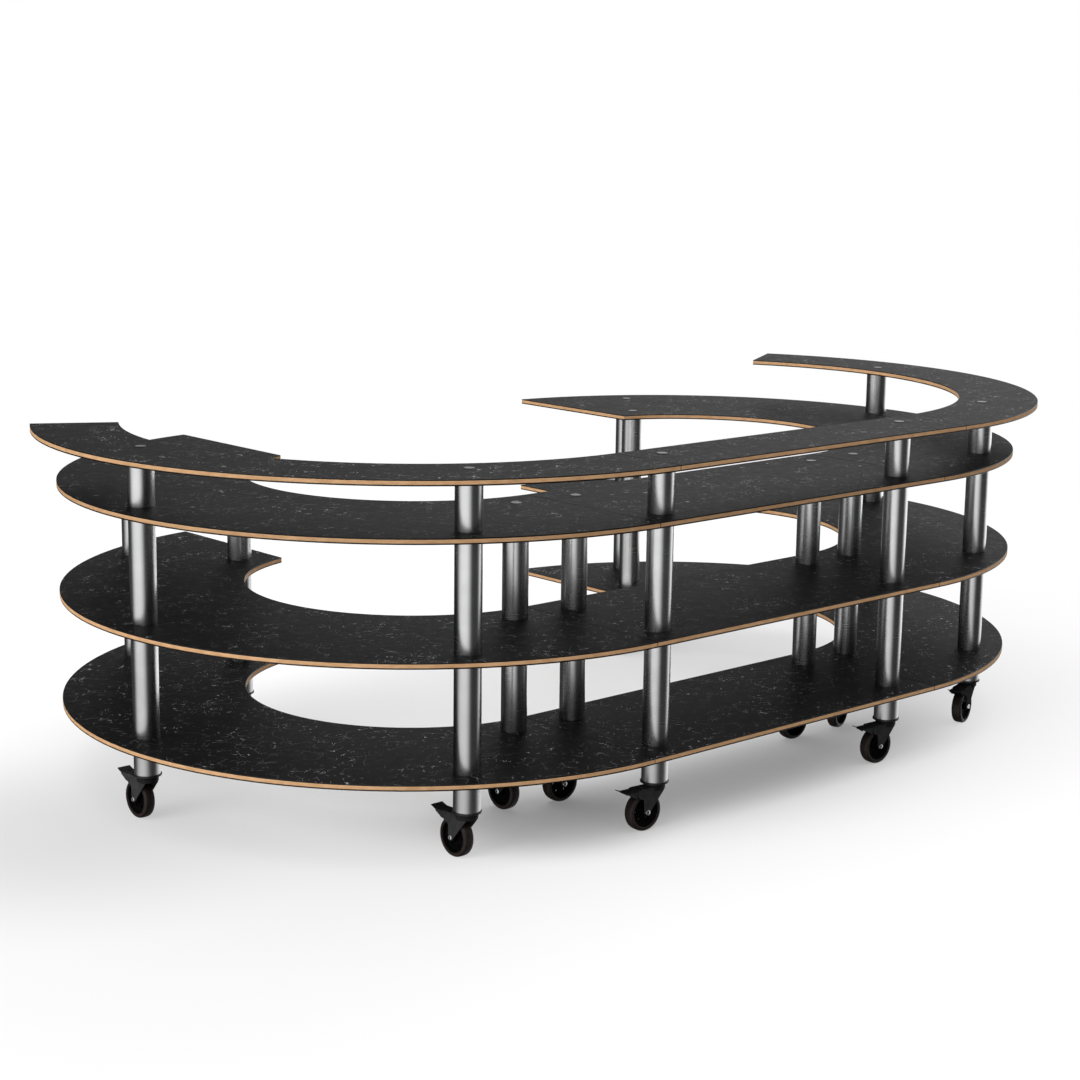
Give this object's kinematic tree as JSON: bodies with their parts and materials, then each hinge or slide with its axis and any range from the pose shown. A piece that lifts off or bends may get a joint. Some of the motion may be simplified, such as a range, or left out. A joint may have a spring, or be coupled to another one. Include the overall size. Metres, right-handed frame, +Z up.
{
  "type": "rolling buffet station",
  "caption": "Oval buffet counter on casters: a straight front module and half-round end modules of dark shelves on round steel posts, with a raised serving bar and an open staff side.",
  "frame": {"origin": "middle of the plan's bounding box, on the floor", "axes": "+X along the straight front to the viewer's right, +Y to the open staff side, +Z up"},
  "size_m": [3.7, 2.3149, 1.137],
  "materials": {
    "board": "charcoal laminate with fine pale flecks on plywood, edges bare",
    "tube": "satin stainless steel",
    "disc": "turned, inside the tubes",
    "bolt": "zinc plated, flat head",
    "flange": "black paint",
    "fork": "charcoal paint",
    "wheel": "dark tyre on a black hub",
    "pedal": "charcoal paint"
  },
  "bodies": {
    "centre_module": {"centre_base_shelf": "board", "centre_middle_shelf": "board", "centre_worktop": "board", "centre_bar": "board", "centre_post_tubes": "tube", "centre_centring_discs": "disc", "centre_tie_bolts": "bolt", "centre_caster_flanges": "flange"},
    "left_module": {"left_base_shelf": "board", "left_middle_shelf": "board", "left_worktop": "board", "left_bar": "board", "left_post_tubes": "tube", "left_centring_discs": "disc", "left_tie_bolts": "bolt", "left_caster_flanges": "flange"},
    "right_module": {"right_base_shelf": "board", "right_middle_shelf": "board", "right_worktop": "board", "right_bar": "board", "right_post_tubes": "tube", "right_centring_discs": "disc", "right_tie_bolts": "bolt", "right_caster_flanges": "flange"},
    "centre_outer_left_swivel": {"centre_outer_left_fork": "fork"},
    "centre_outer_left_wheel": {"centre_outer_left_wheel": "wheel"},
    "centre_outer_left_pedal": {"centre_outer_left_pedal": "pedal"},
    "centre_inner_left_swivel": {"centre_inner_left_fork": "fork"},
    "centre_inner_left_wheel": {"centre_inner_left_wheel": "wheel"},
    "centre_outer_right_swivel": {"centre_outer_right_fork": "fork"},
    "centre_outer_right_wheel": {"centre_outer_right_wheel": "wheel"},
    "centre_outer_right_pedal": {"centre_outer_right_pedal": "pedal"},
    "centre_inner_right_swivel": {"centre_inner_right_fork": "fork"},
    "centre_inner_right_wheel": {"centre_inner_right_wheel": "wheel"},
    "left_outer_front_swivel": {"left_outer_front_fork": "fork"},
    "left_outer_front_wheel": {"left_outer_front_wheel": "wheel"},
    "left_outer_front_pedal": {"left_outer_front_pedal": "pedal"},
    "left_outer_side_swivel": {"left_outer_side_fork": "fork"},
    "left_outer_side_wheel": {"left_outer_side_wheel": "wheel"},
    "left_outer_side_pedal": {"left_outer_side_pedal": "pedal"},
    "left_outer_back_swivel": {"left_outer_back_fork": "fork"},
    "left_outer_back_wheel": {"left_outer_back_wheel": "wheel"},
    "left_outer_back_pedal": {"left_outer_back_pedal": "pedal"},
    "left_inner_front_swivel": {"left_inner_front_fork": "fork"},
    "left_inner_front_wheel": {"left_inner_front_wheel": "wheel"},
    "left_inner_back_swivel": {"left_inner_back_fork": "fork"},
    "left_inner_back_wheel": {"left_inner_back_wheel": "wheel"},
    "right_outer_front_swivel": {"right_outer_front_fork": "fork"},
    "right_outer_front_wheel": {"right_outer_front_wheel": "wheel"},
    "right_outer_front_pedal": {"right_outer_front_pedal": "pedal"},
    "right_outer_side_swivel": {"right_outer_side_fork": "fork"},
    "right_outer_side_wheel": {"right_outer_side_wheel": "wheel"},
    "right_outer_side_pedal": {"right_outer_side_pedal": "pedal"},
    "right_outer_back_swivel": {"right_outer_back_fork": "fork"},
    "right_outer_back_wheel": {"right_outer_back_wheel": "wheel"},
    "right_outer_back_pedal": {"right_outer_back_pedal": "pedal"},
    "right_inner_front_swivel": {"right_inner_front_fork": "fork"},
    "right_inner_front_wheel": {"right_inner_front_wheel": "wheel"},
    "right_inner_back_swivel": {"right_inner_back_fork": "fork"},
    "right_inner_back_wheel": {"right_inner_back_wheel": "wheel"}
  },
  "joints": [
    {"name": "left_module_roll_out", "type": "slide", "parent": "centre_module", "child": "left_module", "axis": [-1, 0, 0], "range_m": [0, 0.5]},
    {"name": "right_module_roll_out", "type": "slide", "parent": "centre_module", "child": "right_module", "axis": [1, 0, 0], "range_m": [0, 0.5]},
    {"name": "centre_outer_left_swivel", "type": "hinge", "parent": "centre_module", "child": "centre_outer_left_swivel", "pos_m": [-0.54, -0.97248, 0.1427], "axis": [0, 0, 1], "continuous": true},
    {"name": "centre_outer_left_spin", "type": "hinge", "parent": "centre_outer_left_swivel", "child": "centre_outer_left_wheel", "pos_m": [-0.58389, -0.96941, 0.06], "axis": [-0.0698, -0.9976, 0], "continuous": true},
    {"name": "centre_outer_left_brake", "type": "hinge", "parent": "centre_outer_left_swivel", "child": "centre_outer_left_pedal", "pos_m": [-0.60684, -0.9678, 0.124], "axis": [-0.0698, -0.9976, 0], "range_deg": [0, 12]},
    {"name": "centre_inner_left_swivel", "type": "hinge", "parent": "centre_module", "child": "centre_inner_left_swivel", "pos_m": [-0.54, -0.60648, 0.1427], "axis": [0, 0, 1], "continuous": true},
    {"name": "centre_inner_left_spin", "type": "hinge", "parent": "centre_inner_left_swivel", "child": "centre_inner_left_wheel", "pos_m": [-0.58389, -0.60341, 0.06], "axis": [-0.0698, -0.9976, 0], "continuous": true},
    {"name": "centre_outer_right_swivel", "type": "hinge", "parent": "centre_module", "child": "centre_outer_right_swivel", "pos_m": [0.54, -0.97248, 0.1427], "axis": [0, 0, 1], "continuous": true},
    {"name": "centre_outer_right_spin", "type": "hinge", "parent": "centre_outer_right_swivel", "child": "centre_outer_right_wheel", "pos_m": [0.49611, -0.96941, 0.06], "axis": [-0.0698, -0.9976, 0], "continuous": true},
    {"name": "centre_outer_right_brake", "type": "hinge", "parent": "centre_outer_right_swivel", "child": "centre_outer_right_pedal", "pos_m": [0.47316, -0.9678, 0.124], "axis": [-0.0698, -0.9976, 0], "range_deg": [0, 12]},
    {"name": "centre_inner_right_swivel", "type": "hinge", "parent": "centre_module", "child": "centre_inner_right_swivel", "pos_m": [0.54, -0.60648, 0.1427], "axis": [0, 0, 1], "continuous": true},
    {"name": "centre_inner_right_spin", "type": "hinge", "parent": "centre_inner_right_swivel", "child": "centre_inner_right_wheel", "pos_m": [0.49611, -0.60341, 0.06], "axis": [-0.0698, -0.9976, 0], "continuous": true},
    {"name": "left_outer_front_swivel", "type": "hinge", "parent": "left_module", "child": "left_outer_front_swivel", "pos_m": [-1.1575, -0.83649, 0.1427], "axis": [0, 0, 1], "continuous": true},
    {"name": "left_outer_front_spin", "type": "hinge", "parent": "left_outer_front_swivel", "child": "left_outer_front_wheel", "pos_m": [-1.1575, -0.79249, 0.06], "axis": [-1, 0, 0], "continuous": true},
    {"name": "left_outer_front_brake", "type": "hinge", "parent": "left_outer_front_swivel", "child": "left_outer_front_pedal", "pos_m": [-1.1575, -0.76949, 0.124], "axis": [-1, 0, 0], "range_deg": [0, 12]},
    {"name": "left_outer_side_swivel", "type": "hinge", "parent": "left_module", "child": "left_outer_side_swivel", "pos_m": [-1.665, 0.04252, 0.1427], "axis": [0, 0, 1], "continuous": true},
    {"name": "left_outer_side_spin", "type": "hinge", "parent": "left_outer_side_swivel", "child": "left_outer_side_wheel", "pos_m": [-1.665, 0.08652, 0.06], "axis": [-1, 0, 0], "continuous": true},
    {"name": "left_outer_side_brake", "type": "hinge", "parent": "left_outer_side_swivel", "child": "left_outer_side_pedal", "pos_m": [-1.665, 0.10952, 0.124], "axis": [-1, 0, 0], "range_deg": [0, 12]},
    {"name": "left_outer_back_swivel", "type": "hinge", "parent": "left_module", "child": "left_outer_back_swivel", "pos_m": [-1.1575, 0.92154, 0.1427], "axis": [0, 0, 1], "continuous": true},
    {"name": "left_outer_back_spin", "type": "hinge", "parent": "left_outer_back_swivel", "child": "left_outer_back_wheel", "pos_m": [-1.1575, 0.96554, 0.06], "axis": [-1, 0, 0], "continuous": true},
    {"name": "left_outer_back_brake", "type": "hinge", "parent": "left_outer_back_swivel", "child": "left_outer_back_pedal", "pos_m": [-1.1575, 0.98854, 0.124], "axis": [-1, 0, 0], "range_deg": [0, 12]},
    {"name": "left_inner_front_swivel", "type": "hinge", "parent": "left_module", "child": "left_inner_front_swivel", "pos_m": [-0.77, -0.59529, 0.1427], "axis": [0, 0, 1], "continuous": true},
    {"name": "left_inner_front_spin", "type": "hinge", "parent": "left_inner_front_swivel", "child": "left_inner_front_wheel", "pos_m": [-0.77, -0.55129, 0.06], "axis": [-1, 0, 0], "continuous": true},
    {"name": "left_inner_back_swivel", "type": "hinge", "parent": "left_module", "child": "left_inner_back_swivel", "pos_m": [-0.92, 0.64148, 0.1427], "axis": [0, 0, 1], "continuous": true},
    {"name": "left_inner_back_spin", "type": "hinge", "parent": "left_inner_back_swivel", "child": "left_inner_back_wheel", "pos_m": [-0.92, 0.68548, 0.06], "axis": [-1, 0, 0], "continuous": true},
    {"name": "right_outer_front_swivel", "type": "hinge", "parent": "right_module", "child": "right_outer_front_swivel", "pos_m": [1.1575, -0.83649, 0.1427], "axis": [0, 0, 1], "continuous": true},
    {"name": "right_outer_front_spin", "type": "hinge", "parent": "right_outer_front_swivel", "child": "right_outer_front_wheel", "pos_m": [1.11542, -0.84936, 0.06], "axis": [0.2924, -0.9563, 0], "continuous": true},
    {"name": "right_outer_front_brake", "type": "hinge", "parent": "right_outer_front_swivel", "child": "right_outer_front_pedal", "pos_m": [1.09343, -0.85608, 0.124], "axis": [0.2924, -0.9563, 0], "range_deg": [0, 12]},
    {"name": "right_outer_side_swivel", "type": "hinge", "parent": "right_module", "child": "right_outer_side_swivel", "pos_m": [1.665, 0.04252, 0.1427], "axis": [0, 0, 1], "continuous": true},
    {"name": "right_outer_side_spin", "type": "hinge", "parent": "right_outer_side_swivel", "child": "right_outer_side_wheel", "pos_m": [1.62292, 0.02966, 0.06], "axis": [0.2924, -0.9563, 0], "continuous": true},
    {"name": "right_outer_side_brake", "type": "hinge", "parent": "right_outer_side_swivel", "child": "right_outer_side_pedal", "pos_m": [1.60093, 0.02293, 0.124], "axis": [0.2924, -0.9563, 0], "range_deg": [0, 12]},
    {"name": "right_outer_back_swivel", "type": "hinge", "parent": "right_module", "child": "right_outer_back_swivel", "pos_m": [1.1575, 0.92154, 0.1427], "axis": [0, 0, 1], "continuous": true},
    {"name": "right_outer_back_spin", "type": "hinge", "parent": "right_outer_back_swivel", "child": "right_outer_back_wheel", "pos_m": [1.11542, 0.90867, 0.06], "axis": [0.2924, -0.9563, 0], "continuous": true},
    {"name": "right_outer_back_brake", "type": "hinge", "parent": "right_outer_back_swivel", "child": "right_outer_back_pedal", "pos_m": [1.09343, 0.90195, 0.124], "axis": [0.2924, -0.9563, 0], "range_deg": [0, 12]},
    {"name": "right_inner_front_swivel", "type": "hinge", "parent": "right_module", "child": "right_inner_front_swivel", "pos_m": [0.77, -0.59529, 0.1427], "axis": [0, 0, 1], "continuous": true},
    {"name": "right_inner_front_spin", "type": "hinge", "parent": "right_inner_front_swivel", "child": "right_inner_front_wheel", "pos_m": [0.72792, -0.60815, 0.06], "axis": [0.2924, -0.9563, 0], "continuous": true},
    {"name": "right_inner_back_swivel", "type": "hinge", "parent": "right_module", "child": "right_inner_back_swivel", "pos_m": [0.92, 0.64148, 0.1427], "axis": [0, 0, 1], "continuous": true},
    {"name": "right_inner_back_spin", "type": "hinge", "parent": "right_inner_back_swivel", "child": "right_inner_back_wheel", "pos_m": [0.87792, 0.62862, 0.06], "axis": [0.2924, -0.9563, 0], "continuous": true}
  ]
}
